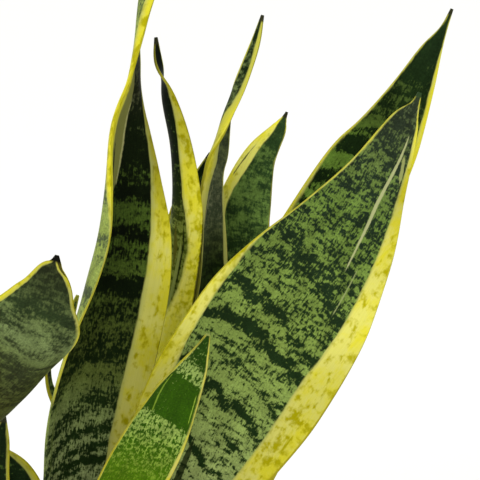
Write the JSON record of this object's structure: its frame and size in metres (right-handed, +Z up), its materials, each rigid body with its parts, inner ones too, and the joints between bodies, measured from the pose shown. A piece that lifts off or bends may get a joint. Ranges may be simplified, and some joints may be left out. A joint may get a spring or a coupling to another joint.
{
  "type": "potted snake plant",
  "caption": "Variegated snake plant in a tapered clay pot: upright sword-shaped leaves with dark cross bands and yellow margins, standing in potting soil.",
  "frame": {"origin": "centre of the pot's flat base, on the surface that it stands on", "axes": "+Z up, -Y towards the viewer, so that the broadest leaf leans towards +X"},
  "size_m": [0.2874, 0.2089, 0.4662],
  "materials": {
    "leaf": "satin",
    "young_leaf": "satin",
    "clay": "matte",
    "potting_soil": "matte",
    "rhizome": "matte"
  },
  "bodies": {
    "root": {"leaf_tall_left": "leaf", "leaf_broad_right": "leaf", "leaf_back_right": "leaf", "leaf_centre_rolled": "leaf", "leaf_centre_twisted": "leaf", "leaf_centre_back": "leaf", "leaf_centre_sliver": "leaf", "leaf_young": "young_leaf", "leaf_near_left": "leaf", "leaf_low_left_outer": "leaf", "leaf_low_left": "leaf", "leaf_left_sliver": "leaf", "leaf_rear": "leaf", "leaf_far_left": "leaf", "leaf_pup": "leaf", "pot": "clay", "soil": "potting_soil", "rhizome": "rhizome"}
  },
  "joints": []
}
